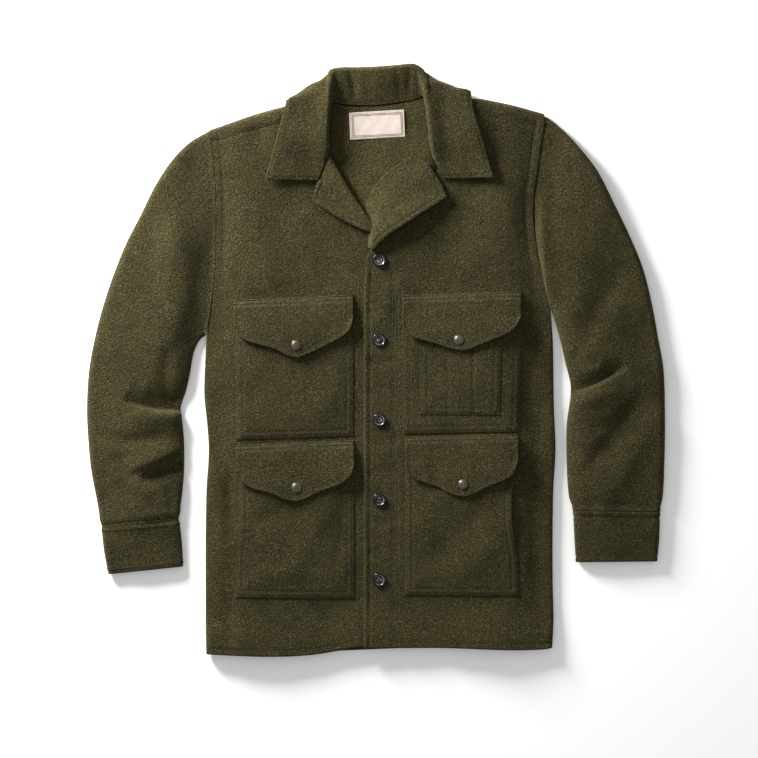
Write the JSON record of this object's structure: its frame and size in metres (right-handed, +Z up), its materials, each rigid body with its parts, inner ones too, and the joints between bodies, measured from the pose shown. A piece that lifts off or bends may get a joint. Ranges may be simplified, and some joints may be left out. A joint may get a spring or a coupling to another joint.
{
  "type": "wool mackinaw jacket",
  "caption": "Heavy wool work jacket laid out flat, with a notched collar, a buttoned front, flapped patch pockets and plain cuffs.",
  "frame": {"origin": "under the middle of the laid-out jacket, on the surface that it lies on", "axes": "+X to the wearer's left, +Y towards the collar, +Z up from the surface, out of the jacket's front"},
  "size_m": [0.8096, 0.8298, 0.0248],
  "materials": {
    "wool": "napped olive wool twill",
    "wool_facing": "the same wool, seen on the facing",
    "horn": "polished black horn",
    "snap_metal": "antiqued, plain cap",
    "label_cloth": "woven ribbon, no lettering"
  },
  "bodies": {
    "root": {"back": "wool", "front_right": "wool", "front_left": "wool", "sleeve_right": "wool", "sleeve_left": "wool", "cuff_right": "wool", "cuff_left": "wool", "collar": "wool", "lapel_right": "wool_facing", "lapel_left": "wool_facing", "pocket_chest_right": "wool", "pocket_chest_left": "wool", "pocket_lower_right": "wool", "pocket_lower_left": "wool", "pocket_pencil": "wool", "flap_chest_right": "wool", "flap_chest_left": "wool", "flap_lower_right": "wool", "flap_lower_left": "wool", "button_1": "horn", "button_2": "horn", "button_3": "horn", "button_4": "horn", "button_5": "horn", "snap_chest_right": "snap_metal", "snap_chest_left": "snap_metal", "snap_lower_right": "snap_metal", "snap_lower_left": "snap_metal", "label": "label_cloth"}
  },
  "joints": []
}
